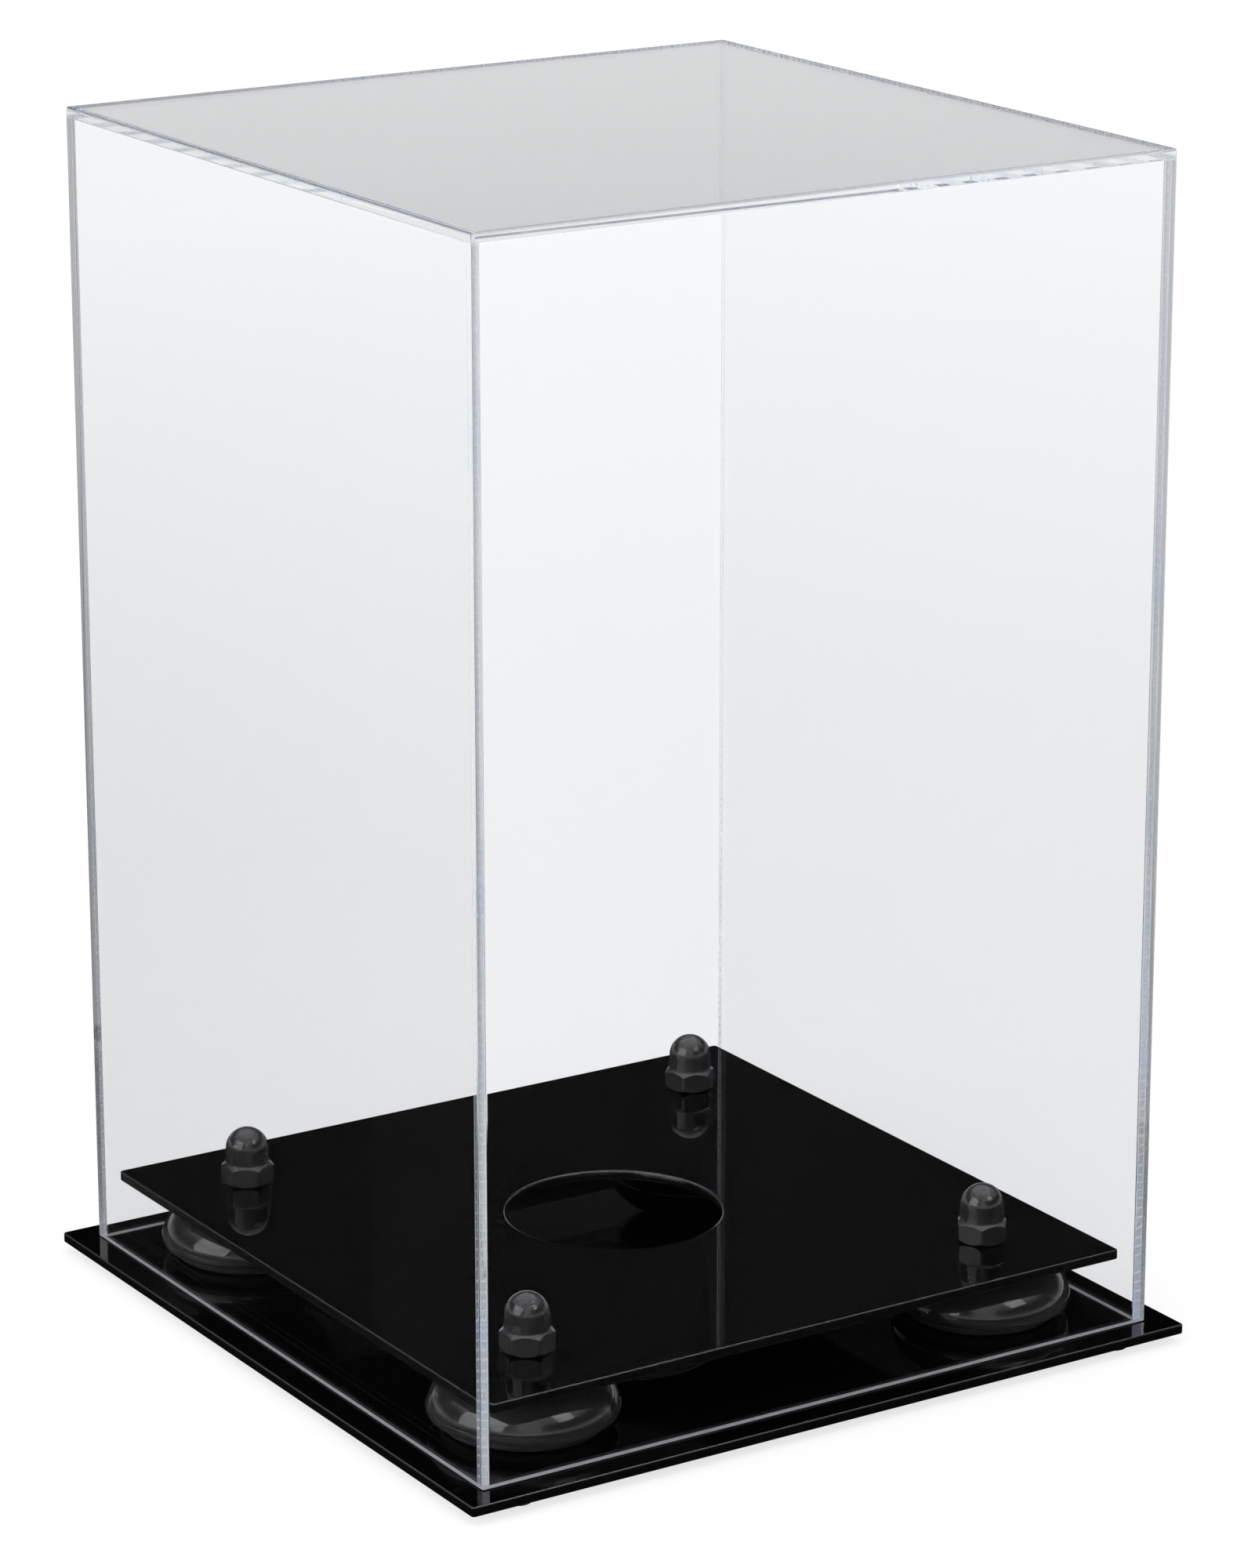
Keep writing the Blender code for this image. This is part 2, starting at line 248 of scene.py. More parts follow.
# ---------------------------------------------------------------- materials
def mat_black_acrylic(name="black_acrylic_gloss", seed=0.0):
    """Cast black acrylic: mirror-gloss faces with hairline scratches and a
    little dust, saw-cut edges with fine tool marks, a polished arris whose colour is
    lightened grey all round as a painted highlight line, more where it is chipped."""
    n = Nodes(name)
    co = n.coords()
    geo = n.tree.nodes.new("ShaderNodeNewGeometry")
    sep = n.new("ShaderNodeSeparateXYZ")
    n.set(sep, "Vector", geo.outputs["Normal"])
    up = n.math("ABSOLUTE", sep.outputs[2])
    edge = n.remap(up, 0.25, 0.5, 1.0, 0.0)          # 1 on the vertical cut edges
    arris = n.math("MULTIPLY", n.remap(up, 0.3, 0.45, 0.0, 1.0), n.remap(up, 0.85, 0.97, 1.0, 0.0))

    wave = n.noise(n.mapping(co, location=(seed, 0, 0)), 22.0, 1.5)
    scr_a = hairlines(n, co, 260.0, 26.0, 0.5 + seed, 0.02)
    scr_b = hairlines(n, co, 210.0, 22.0, 2.1 + seed, 0.018)
    scr_c = hairlines(n, co, 330.0, 30.0, 1.3 + seed, 0.02)
    scratches = n.math("MAXIMUM", n.math("MAXIMUM", scr_a, scr_b), scr_c)
    dust_cells = n.voronoi(n.mapping(co, location=(seed, seed, 0)), 420.0)
    dust = n.math("MULTIPLY", n.remap(dust_cells.outputs["Distance"], 0.05, 0.11, 1.0, 0.0),
                  n.remap(n.noise(co, 95.0, 2.0), 0.6, 0.7, 0.0, 1.0))
    smudge = n.remap(n.noise(n.mapping(co, location=(seed, 3, 0)), 14.0, 4.0, 0.6), 0.45, 0.75, 0.0, 1.0)

    saw = n.noise(n.mapping(co, scale=(900, 900, 60)), 1.0, 2.0)
    chips = n.remap(n.noise(co, 700.0, 2.0), 0.62, 0.7, 0.0, 1.0)

    flat_rough = n.math("ADD", n.math("MULTIPLY", smudge, 0.012),
                        n.math("ADD", 0.008, n.math("MULTIPLY", scratches, 0.07)))
    edge_rough = n.math("ADD", 0.12, n.math("MULTIPLY", saw, 0.10))
    rough = n.new("ShaderNodeMix")
    n.set(rough, "i0", edge)
    n.set(rough, "i2", flat_rough)
    n.set(rough, "i3", edge_rough)
    rough_out = n.math("ADD", rough.outputs[0], n.math("MULTIPLY", arris, n.math("MULTIPLY", chips, 0.2)))

    base = n.mix_rgb(n.math("MULTIPLY", dust, 0.14), (0.0006, 0.0004, 0.0005), (0.10, 0.10, 0.098))
    # painted highlight: every arris is lightened towards grey, partly chip wear where the chip noise is high
    base = n.mix_rgb(n.math("MULTIPLY", arris, n.remap(chips, 0, 1, 0.35, 0.9)), base, (0.035, 0.034, 0.036))
    base = n.mix_rgb(n.math("MULTIPLY", edge, 0.5), base, n.mix_rgb(saw, (0.001, 0.001, 0.001), (0.006, 0.0055, 0.006)))

    height = n.math("ADD", n.math("MULTIPLY", wave, 1.0), n.math("MULTIPLY", scratches, -0.006))
    bump = n.bump(height, 0.03, 0.0008)
    bump = n.bump(n.math("MULTIPLY", saw, edge), 0.2, 0.00006, bump)
    bsdf = n.new("ShaderNodeBsdfPrincipled")
    n.set(bsdf, "Base Color", base)
    n.set(bsdf, "Roughness", rough_out)
    n.set(bsdf, "Normal", bump)
    bsdf.inputs["IOR"].default_value = 1.49
    bsdf.inputs["Specular IOR Level"].default_value = 0.5
    return n.surface(bsdf.outputs[0])


def mat_gloss_plastic(name, colour, speckle, rough0, rough1, bump_scale, bump_strength, seed=0.0):
    """Injection-moulded plastic: glossy skin with faint orange peel, flow
    variation and a few rub marks."""
    n = Nodes(name)
    co = n.mapping(n.coords(), location=(seed, seed * 0.37, 0))
    peel = n.noise(co, bump_scale, 2.0, 0.45)
    flow = n.noise(n.mapping(co, scale=(1, 1, 2.2)), 55.0, 4.0, 0.6, 0.8)
    rub = hairlines(n, co, 620.0, 14.0, 0.9 + seed, 0.03)
    fine = n.noise(co, 2600.0, 2.0)
    base = n.mix_rgb(n.remap(flow, 0.3, 0.7, 0.0, 1.0), colour, speckle)
    base = n.mix_rgb(n.math("MULTIPLY", rub, 0.08), base, (0.10, 0.10, 0.10))
    rough = n.math("ADD", n.remap(flow, 0.3, 0.75, rough0, rough1), n.math("MULTIPLY", rub, 0.05))
    rough = n.math("ADD", rough, n.math("MULTIPLY", fine, 0.012))
    b = n.bump(peel, bump_strength, 0.0004)
    b = n.bump(n.math("MULTIPLY", rub, -1.0), 0.05, 0.00002, b)
    bsdf = n.new("ShaderNodeBsdfPrincipled")
    n.set(bsdf, "Base Color", base)
    n.set(bsdf, "Roughness", rough)
    n.set(bsdf, "Normal", b)
    bsdf.inputs["IOR"].default_value = 1.5
    return n.surface(bsdf.outputs[0])


def mat_rubber(name, colour, seed=0.0):
    n = Nodes(name)
    co = n.mapping(n.coords(), location=(seed, 0, 0))
    grain = n.noise(co, 5200.0, 3.0)
    patch = n.noise(co, 260.0, 3.0)
    dust = n.remap(n.noise(co, 1400.0, 4.0, 0.7), 0.6, 0.75, 0.0, 1.0)
    base = n.mix_rgb(n.math("MULTIPLY", patch, 0.6), colour, tuple(c * 2.2 + 0.003 for c in colour))
    base = n.mix_rgb(n.math("MULTIPLY", dust, 0.2), base, (0.09, 0.088, 0.085))
    bsdf = n.new("ShaderNodeBsdfPrincipled")
    n.set(bsdf, "Base Color", base)
    n.set(bsdf, "Roughness", n.remap(grain, 0.3, 0.7, 0.55, 0.8))
    n.set(bsdf, "Normal", n.bump(grain, 0.35, 0.00006))
    return n.surface(bsdf.outputs[0])


def mat_steel(name):
    n = Nodes(name)
    co = n.coords()
    streak = n.noise(n.mapping(co, scale=(1, 1, 9)), 900.0, 3.0)
    tint = n.noise(co, 180.0, 3.0)
    base = n.mix_rgb(tint, (0.56, 0.56, 0.57), (0.66, 0.65, 0.61))
    bsdf = n.new("ShaderNodeBsdfPrincipled")
    n.set(bsdf, "Base Color", base)
    bsdf.inputs["Metallic"].default_value = 1.0
    n.set(bsdf, "Roughness", n.remap(streak, 0.3, 0.7, 0.22, 0.42))
    n.set(bsdf, "Normal", n.bump(streak, 0.2, 0.00005))
    return n.surface(bsdf.outputs[0])


def mat_clear_acrylic(name="clear_acrylic_sheet"):
    """Clear cast acrylic: real refraction, faint sheet waviness, hairlines and
    a few smears.  Lamps shine through it."""
    n = Nodes(name)
    co = n.coords()
    wave = n.noise(co, 9.0, 0.0)
    smear = n.remap(n.noise(co, 11.0, 2.0, 0.6), 0.55, 0.78, 0.0, 1.0)
    cells = n.voronoi(n.mapping(co, scale=(150, 150, 6), rotation=(0.5, 0.35, 0.4)), 1.0, feature="DISTANCE_TO_EDGE")
    line = n.remap(cells.outputs["Distance"], 0.0, 0.012, 1.0, 0.0)
    rough = n.math("ADD", n.math("MULTIPLY", smear, 0.010), n.math("MULTIPLY", n.math("MULTIPLY", line, smear), 0.05))
    bsdf = n.new("ShaderNodeBsdfPrincipled")
    bsdf.inputs["Base Color"].default_value = (0.984, 0.992, 1.0, 1)
    bsdf.inputs["Transmission Weight"].default_value = 1.0
    bsdf.inputs["IOR"].default_value = 1.49
    n.set(bsdf, "Roughness", rough)
    n.set(bsdf, "Normal", n.bump(wave, 0.02, 0.0015))
    sep = n.new("ShaderNodeSeparateXYZ")
    n.set(sep, "Vector", co)
    rim = n.math("LESS_THAN", sep.outputs[2], SHELL_LO_Z + 0.05 * MM)
    frost = n.new("ShaderNodeBsdfDiffuse")
    n.set(frost, "Color", n.mix_rgb(n.noise(n.mapping(co, scale=(1, 1, 1)), 2400.0, 2.0), (0.26, 0.275, 0.29), (0.50, 0.51, 0.53)))
    cut = n.new("ShaderNodeMixShader")
    n.set(cut, "Fac", n.math("MULTIPLY", rim, 0.92))
    n.tree.links.new(bsdf.outputs[0], cut.inputs[1])
    n.tree.links.new(frost.outputs[0], cut.inputs[2])
    clear = n.new("ShaderNodeBsdfTransparent")
    clear.inputs["Color"].default_value = (0.9, 0.91, 0.92, 1)
    path = n.tree.nodes.new("ShaderNodeLightPath")
    mix = n.new("ShaderNodeMixShader")
    n.set(mix, "Fac", path.outputs["Is Shadow Ray"])
    n.tree.links.new(cut.outputs[0], mix.inputs[1])
    n.tree.links.new(clear.outputs[0], mix.inputs[2])
    return n.surface(mix.outputs[0])


SHELL_LO_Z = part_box("cover_front")[0].z
BLACK = mat_black_acrylic()
PLATFORM_BLACK = mat_black_acrylic("black_acrylic_platform", seed=4.3)
CLEAR = mat_clear_acrylic()
RISER = mat_gloss_plastic("riser_gloss_plastic", (0.015, 0.015, 0.0155), (0.021, 0.021, 0.0215), 0.045, 0.075, 300.0, 0.012)
NUT = mat_gloss_plastic("nut_gloss_plastic", (0.014, 0.014, 0.0145), (0.018, 0.018, 0.0185), 0.085, 0.125, 500.0, 0.02, seed=2.0)
RUBBER = mat_rubber("foot_rubber_matte", (0.012, 0.012, 0.012))
SOLE = mat_rubber("sole_rubber_matte", (0.008, 0.008, 0.008), seed=5.0)
STEEL = mat_steel("zinc_plated_steel")


# =====================================================================
#  black plates
# =====================================================================
def rounded_square(side, radius, n):
    h = side / 2 - radius
    pts = []
    for k, (sx, sy) in enumerate(((1, 1), (-1, 1), (-1, -1), (1, -1))):
        for i in range(n + 1):
            a = math.pi / 2 * (k + i / n)
            pts.append((sx * h + radius * math.cos(a), sy * h + radius * math.sin(a)))
    return pts


def plate_mesh(name, lo, hi, corner_r, arris, holes):
    """Sheet with rounded arrises.  holes: (radius, (x, y), segments, arris)."""
    bm = bmesh.new()
    bottom, top = [], []
    side = hi.x - lo.x
    z0, z1 = lo.z, hi.z

    def steps(a, n=3):
        return [(a * (1 - math.sin(math.pi / 2 * i / n)), a * (1 - math.cos(math.pi / 2 * i / n))) for i in range(n + 1)]

    def wall(rows):
        rings = [[bm.verts.new((x, y, z)) for x, y in row] for row, z in rows]
        n = len(rings[0])
        for a, b in zip(rings, rings[1:]):
            for i in range(n):
                j = (i + 1) % n
                bm.faces.new((a[i], a[j], b[j], b[i]))
        for ring, store in ((rings[0], bottom), (rings[-1], top)):
            store.extend(bm.edges.get((ring[i], ring[(i + 1) % n])) for i in range(n))

    rows = []
    prof = steps(arris)
    for inset, dz in prof:
        rows.append((rounded_square(side - 2 * inset, max(corner_r - inset, 0.05 * MM), 6), z0 + dz))
    for inset, dz in reversed(prof):
        rows.append((rounded_square(side - 2 * inset, max(corner_r - inset, 0.05 * MM), 6), z1 - dz))
    wall(rows)
    for radius, (cx, cy), seg, hole_arris in holes:
        def ring(r):
            return [(cx + r * math.cos(2 * math.pi * i / seg), cy + r * math.sin(2 * math.pi * i / seg)) for i in range(seg)]
        prof = steps(hole_arris)
        rows = [(ring(radius + inset), z0 + dz) for inset, dz in prof]
        rows += [(ring(radius + inset), z1 - dz) for inset, dz in reversed(prof)]
        wall(rows)
    bmesh.ops.triangle_fill(bm, use_beauty=True, edges=bottom)
    bmesh.ops.triangle_fill(bm, use_beauty=True, edges=top)
    return finish_mesh(bm, name, flats=True)


lo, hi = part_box("base_plate")
base = make_piece("base_plate_sheet", plate_mesh("base_plate_sheet", lo, hi, 1.0 * MM, 0.35 * MM, []),
                  "stand", ["base_plate"], BLACK)
BASE_TOP = hi.z

nut_centres = {}
for corner in CORNERS:
    a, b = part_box("riser_" + corner)
    nut_centres[corner] = ((a.x + b.x) / 2, (a.y + b.y) / 2)
lo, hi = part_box("platform")
PLAT_LO, PLAT_HI = lo, hi
holes = [(30.0 * MM, (0.0, 0.0), 192, 0.6 * MM)]
holes += [(4.3 * MM, c, 48, 0.2 * MM) for c in nut_centres.values()]
platform = make_piece("platform_sheet", plate_mesh("platform_sheet", lo, hi, 1.0 * MM, 0.35 * MM, holes),
                      "stand", ["platform"], PLATFORM_BLACK)


# =====================================================================
#  risers, soles, studs, nuts, feet
# =====================================================================
def riser_profile(height, r, sole_r, recess, bore_r):
    """Outer side from the rim up: a rolled lower lip, a fine moulding step,
    then the long dome; inside: stud bore and the sole's recess."""
    waist = 1.7 * MM
    pts = [(r - 1.3 * MM, 0.0)]
    pts += [(r - 1.0 * MM + 0.55 * MM * math.sin(math.radians(a)), 0.32 * MM - 0.32 * MM * math.cos(math.radians(a)))
            for a in (20, 45, 70, 90)]
    pts += [(r - 0.22 * MM, 0.75 * MM), (r - 0.06 * MM, 1.2 * MM), (r, waist), (r - 0.02 * MM, 2.35 * MM),
            (r - 0.16 * MM, 2.45 * MM)]                      # fine step where the mould halves meet
    rise = height - waist + 0.4 * MM
    n = 40
    a0 = 4.5
    for i in range(n + 1):
        a = math.radians(a0 + (75.0 - a0) * i / n)
        pts.append(((r - 0.10 * MM) * math.cos(a) ** 0.92, waist + rise * math.sin(a)))
    last_r, last_z = pts[-1]
    pts += [(last_r - 0.5 * MM, height - 0.12 * MM), (last_r - 1.2 * MM, height), (bore_r, height),
            (bore_r, recess + 1.4 * MM), (0.0, recess + 1.4 * MM), (0.0, recess), (sole_r + 0.3 * MM, recess),
            (sole_r + 0.3 * MM, 0.0)]
    return pts


def sole_profile(height, r):
    """Rubber disc with a rounded foot and two shallow grooves underneath."""
    pts = [(0.0, height), (r - 0.3 * MM, height), (r, height - 0.3 * MM), (r, 0.9 * MM)]
    pts += arc(r - 0.9 * MM, 0.9 * MM, 0.9 * MM, -8, -90, 6)
    for g in (0.78, 0.5):
        pts += [(r * g + 0.9 * MM, 0.0), (r * g + 0.6 * MM, 0.45 * MM), (r * g - 0.6 * MM, 0.45 * MM), (r * g - 0.9 * MM, 0.0)]
    pts.append((0.0, 0.0))
    return pts


def stud_profile(height, r):
    """M8 thread as a stack of rounded ridges, pitch 1.25 mm, ends chamfered."""
    pitch, depth = 1.25 * MM, 0.62 * MM
    pts = [(0.0, height), (r - 0.9 * MM, height), (r - 0.5 * MM, height - 0.5 * MM)]
    z = height - 0.9 * MM
    while z - pitch > 0.9 * MM:
        pts += [(r, z), (r, z - 0.16 * MM), (r - depth, z - pitch / 2 - 0.02 * MM), (r - depth, z - pitch / 2 - 0.16 * MM)]
        z -= pitch
    pts += [(r, z), (r, 0.9 * MM), (r - 0.9 * MM, 0.0), (0.0, 0.0)]
    return pts


def hex_nut_bm(height, across_flats, hex_h, dome_d, bore_r, bore_h, turn, centre):
    """Cap nut as one lathe-like skin: at each height the outline is a hexagon
    cut by the chamfer cone, blending into the round dome above it."""
    seg = 192
    flat = across_flats / 2
    corner = flat / math.cos(math.radians(30))
    edge_soft = 0.22 * MM
    dome_r = dome_d / 2
    straight = height - dome_r
    bm = bmesh.new()
    cx, cy, cz = centre

    def hex_r(theta):
        a = (theta - turn + math.radians(30)) % math.radians(60) - math.radians(30)
        r = flat / math.cos(a)
        # moulded nuts have soft corners
        k = max(0.0, r - (corner - edge_soft))
        return r - k * 0.55

    def ring(fn, z):
        return [bm.verts.new((cx + fn(2 * math.pi * i / seg) * math.cos(2 * math.pi * i / seg),
                              cy + fn(2 * math.pi * i / seg) * math.sin(2 * math.pi * i / seg), cz + z)) for i in range(seg)]

    rings = []
    # seating face: washer-face radius, then the lower chamfer
    low_r = flat + 0.12 * MM
    for z in (0.0, 0.12 * MM, 0.28 * MM, 0.45 * MM, 0.62 * MM, 0.8 * MM, 1.0 * MM):
        cone = low_r + (corner - low_r) * (z / (0.95 * MM)) ** 0.8
        rings.append(ring(lambda t, c=cone: min(hex_r(t), c), z))
    top_r = flat - 0.42 * MM
    rings.append(ring(hex_r, hex_h * 0.5))
    ztop = hex_h
    levels = [ztop - 1.5 * MM + 1.5 * MM * i / 14 for i in range(15)]
    for z in levels:
        t = (ztop - z) / (1.5 * MM)
        cone = top_r + (corner + 0.35 * MM - top_r) * t
        rings.append(ring(lambda th, c=cone: min(hex_r(th), c), z))
    # fillet into the dome
    for out, rise in ((0.16, 0.0), (0.08, 0.10), (0.03, 0.28), (0.0, 0.6), (-0.02, 1.2)):
        rings.append(ring(lambda t, r=dome_r + out * MM: r, ztop + rise * MM))
    for k in range(1, 6):
        rings.append(ring(lambda t, r=dome_r - 0.02 * MM - 0.03 * MM * k / 5: r,
                          ztop + 1.2 * MM + (straight - ztop - 1.2 * MM) * k / 5))
    m = 26
    for i in range(1, m):
        a = math.pi / 2 * i / m
        rings.append(ring(lambda t, r=(dome_r - 0.05 * MM) * math.cos(a): r, straight + dome_r * math.sin(a)))
    for a, b in zip(rings, rings[1:]):
        for i in range(seg):
            j = (i + 1) % seg
            bm.faces.new((a[i], a[j], b[j], b[i]))
    apex = bm.verts.new((cx, cy, cz + height))
    last = rings[-1]
    for i in range(seg):
        bm.faces.new((last[i], last[(i + 1) % seg], apex))
    # underside and blind bore
    inner = [ring(lambda t: bore_r + 0.7 * MM, 0.0), ring(lambda t: bore_r, 0.7 * MM), ring(lambda t: bore_r, bore_h)]
    first = rings[0]
    for a, b in ((inner[0], first), (inner[1], inner[0]), (inner[2], inner[1])):
        for i in range(seg):
            j = (i + 1) % seg
            bm.faces.new((a[i], a[j], b[j], b[i]))
    end = bm.verts.new((cx, cy, cz + bore_h + 1.6 * MM))
    for i in range(seg):
        bm.faces.new((inner[2][(i + 1) % seg], inner[2][i], end))
    return bm


NUT_TURN_DEG = {"front_left": -5.4, "front_right": 23.6, "back_left": -3.0, "back_right": 12.0}
for corner in CORNERS:
    x, y = nut_centres[corner]
    lo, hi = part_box("riser_" + corner)
    bm = lathe_bm(riser_profile(hi.z - lo.z, (hi.x - lo.x) / 2, 20.5 * MM, 2.4 * MM, 4.3 * MM), 160, (x, y, lo.z))
    make_piece("riser_dome_" + corner, finish_mesh(bm, "riser_dome_" + corner, 32), "stand",
               ["riser_" + corner], RISER)
    lo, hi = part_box("riser_sole_" + corner)
    bm = lathe_bm(sole_profile(hi.z - lo.z, (hi.x - lo.x) / 2), 96, (x, y, lo.z))
    make_piece("sole_" + corner, finish_mesh(bm, "sole_" + corner, 35), "stand",
               ["riser_sole_" + corner], SOLE)
    lo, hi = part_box("riser_stud_" + corner)
    bm = lathe_bm(stud_profile(hi.z - lo.z, (hi.x - lo.x) / 2), 48, (x, y, lo.z))
    make_piece("stud_" + corner, finish_mesh(bm, "stud_" + corner, 40), "stand",
               ["riser_stud_" + corner], STEEL)
    lo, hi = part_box("cap_nut_" + corner)
    bm = hex_nut_bm(hi.z - lo.z, 13.0 * MM, 5.7 * MM, 12.0 * MM, 4.2 * MM, 12.0 * MM,
                    math.radians(NUT_TURN_DEG[corner]), (x, y, lo.z))
    make_piece("nut_" + corner, finish_mesh(bm, "nut_" + corner, 22), "stand",
               ["cap_nut_" + corner], NUT)
    lo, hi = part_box("bumper_foot_" + corner)
    fx, fy, fr, fh = (lo.x + hi.x) / 2, (lo.y + hi.y) / 2, (hi.x - lo.x) / 2, hi.z - lo.z
    prof = [(0.0, fh), (fr - 0.15 * MM, fh), (fr, fh - 0.15 * MM), (fr, 1.6 * MM)]
    prof += arc(fr - 1.3 * MM, 1.3 * MM, 1.3 * MM, 0, -90, 10)[0:]
    prof += [(fr - 1.9 * MM, 0.0), (fr - 2.1 * MM, 0.18 * MM), (0.0, 0.18 * MM)]
    bm = lathe_bm(prof, 72, (fx, fy, lo.z))
    make_piece("bumper_" + corner, finish_mesh(bm, "bumper_" + corner, 35), "stand",
               ["bumper_foot_" + corner], RUBBER)


# =====================================================================
#  clear cover: one bonded shell
# =====================================================================
def box_skin(bm, x, y, z0, z1, radius, segments, inward):
    """Box without a bottom, its upper edges and corners rounded."""
    geom = bmesh.ops.create_cube(bm, size=1.0)
    verts = geom["verts"]
    for v in verts:
        v.co = Vector((v.co.x * 2 * x, v.co.y * 2 * y, z0 if v.co.z < 0 else z1))
    faces = {f for v in verts for f in v.link_faces}
    floor = [f for f in faces if all(abs(v.co.z - z0) < 1e-9 for v in f.verts)]
    bmesh.ops.delete(bm, geom=floor, context="FACES_ONLY")
    edges = {e for v in verts for e in v.link_edges}
    sharp = [e for e in edges if not all(abs(v.co.z - z0) < 1e-9 for v in e.verts)]
    out = bmesh.ops.bevel(bm, geom=sharp, offset=radius, offset_type="OFFSET", segments=segments,
                          profile=0.5, affect="EDGES")
    return out


def shell_mesh(name, lo, hi, wall, outer_r, inner_r):
    outer = bmesh.new()
    hx, hy = (hi.x - lo.x) / 2, (hi.y - lo.y) / 2
    box_skin(outer, hx, hy, lo.z, hi.z, outer_r, 9, False)
    inner = bmesh.new()
    box_skin(inner, hx - wall, hy - wall, lo.z, hi.z - wall, inner_r, 5, True)
    bmesh.ops.reverse_faces(inner, faces=inner.faces)
    tmp_mesh = bpy.data.meshes.new("tmp_inner")
    inner.to_mesh(tmp_mesh)
    inner.free()
    outer.from_mesh(tmp_mesh)
    bpy.data.meshes.remove(tmp_mesh)
    rim = [e for e in outer.edges if e.is_boundary]
    bmesh.ops.triangle_fill(outer, use_beauty=True, edges=rim)
    return finish_mesh(outer, name, flats=True)


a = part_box("cover_front")[0]
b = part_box("cover_top")[1]
SHELL_LO, SHELL_HI = Vector((a.x, a.y, a.z)), Vector((b.x, b.y, b.z))
cover = make_piece("cover_shell", shell_mesh("cover_shell", SHELL_LO, SHELL_HI, 3.0 * MM, 0.8 * MM, 0.3 * MM),
                   "cover", ["cover_top", "cover_front", "cover_back", "cover_left", "cover_right"],
                   CLEAR)


def mat_bond_and_edge_light():
    """Solvent bond: faint haze and tiny bubbles, thicker haze low down where it
    ran down and set, and painted light: a painted highlight line along each side of the
    joint, painted reflections as rungs up the joint, strongest low down, and a painted blue colour fringe."""
    n = Nodes("bond_haze_and_painted_edge_light")
    co = n.coords()
    sep = n.new("ShaderNodeSeparateXYZ")
    n.set(sep, "Vector", co)
    across = n.math("SUBTRACT", n.math("MAXIMUM", n.math("ABSOLUTE", sep.outputs[0]), n.math("ABSOLUTE", sep.outputs[1])), 0.102)
    across = n.math("ADD", across, n.math("MULTIPLY", n.math("SUBTRACT", n.noise(co, 70.0, 1.0), 0.5), 0.0004))
    # painted highlights: a bright line along each side of the joint
    inner_painted_highlight = n.remap(across, 0.0004, 0.0006, 1.0, 0.0)
    outer_painted_highlight = n.remap(across, 0.0019, 0.0021, 0.0, 1.0)
    drops = n.voronoi(n.mapping(co, scale=(900, 900, 260)), 1.0)
    bubble = n.remap(drops.outputs["Distance"], 0.16, 0.24, 1.0, 0.0)
    run = n.remap(n.noise(n.mapping(co, scale=(60, 60, 30)), 1.0, 2.0), 0.45, 0.62, 0.0, 1.0)
    # painted reflections: rungs every 2.65 mm up the joint, like repeated reflections inside the sheet, stronger
    # towards the bottom, plus thicker haze low down
    phase = n.math("ADD", n.math("MULTIPLY", sep.outputs[2], 2 * math.pi / 0.00265),
                   n.math("MULTIPLY", n.noise(co, 55.0, 2.0), 15.0))
    painted_reflection_rung = n.remap(n.math("SINE", phase), 0.55, 0.95, 0.0, 1.0)
    low = n.remap(sep.outputs[2], 0.035, 0.14, 1.0, 0.0)
    painted_rungs_and_run_haze = n.math("ADD", n.math("MULTIPLY", painted_reflection_rung, n.math("ADD", 0.04, n.math("MULTIPLY", low, 0.28))),
                    n.math("MULTIPLY", low, n.remap(run, 0, 1, 0.16, 0.34)))
    alpha = n.math("MAXIMUM", n.math("MULTIPLY", inner_painted_highlight, 0.5), n.math("MULTIPLY", outer_painted_highlight, 0.42))
    alpha = n.math("MAXIMUM", alpha, painted_rungs_and_run_haze)
    alpha = n.math("ADD", alpha, n.math("MULTIPLY", n.math("MULTIPLY", bubble, run), 0.35))
    bsdf = n.new("ShaderNodeBsdfPrincipled")
    # painted colour fringe: the film is tinted blue, bluer where the haze runs
    n.set(bsdf, "Base Color", n.mix_rgb(run, (0.86, 0.90, 0.96), (0.60, 0.71, 0.93)))
    n.set(bsdf, "Roughness", n.remap(run, 0, 1, 0.25, 0.5))
    n.set(bsdf, "Alpha", n.math("ADD", 0.05, alpha, clamp=True))
    n.set(bsdf, "Normal", n.bump(bubble, 0.2, 0.00005))
    return n.surface(bsdf.outputs[0])


BOND_AND_EDGE_LIGHT = mat_bond_and_edge_light()
inner, edge_in = SHELL_HI.x - 3.0 * MM, SHELL_HI.x - 0.5 * MM
z_low, z_joint = SHELL_LO.z + 0.15 * MM, SHELL_HI.z - 3.0 * MM
for corner in CORNERS:
    sx = -1 if corner.endswith("left") else 1
    sy = -1 if corner.startswith("front") else 1
    bm = bmesh.new()
    steps = 24
    cols = [[bm.verts.new((sx * x, sy * inner, z_low + (z_joint - z_low) * i / steps)) for i in range(steps + 1)]
            for x in (inner + 0.05 * MM, edge_in)]
    for i in range(steps):
        bm.faces.new((cols[0][i], cols[1][i], cols[1][i + 1], cols[0][i + 1]))
    make_piece("bond_and_painted_light_upright_" + corner, finish_mesh(bm, "bond_and_painted_light_upright_" + corner), "cover", [], BOND_AND_EDGE_LIGHT)
bm = bmesh.new()
ring_in = [bm.verts.new((sx * (inner + 0.05 * MM), sy * (inner + 0.05 * MM), z_joint)) for sx, sy in ((1, 1), (-1, 1), (-1, -1), (1, -1))]
ring_out = [bm.verts.new((sx * edge_in, sy * edge_in, z_joint)) for sx, sy in ((1, 1), (-1, 1), (-1, -1), (1, -1))]
for i in range(4):
    j = (i + 1) % 4
    bm.faces.new((ring_in[i], ring_in[j], ring_out[j], ring_out[i]))
make_piece("bond_and_painted_light_lid", finish_mesh(bm, "bond_and_painted_light_lid"), "cover", [], BOND_AND_EDGE_LIGHT)


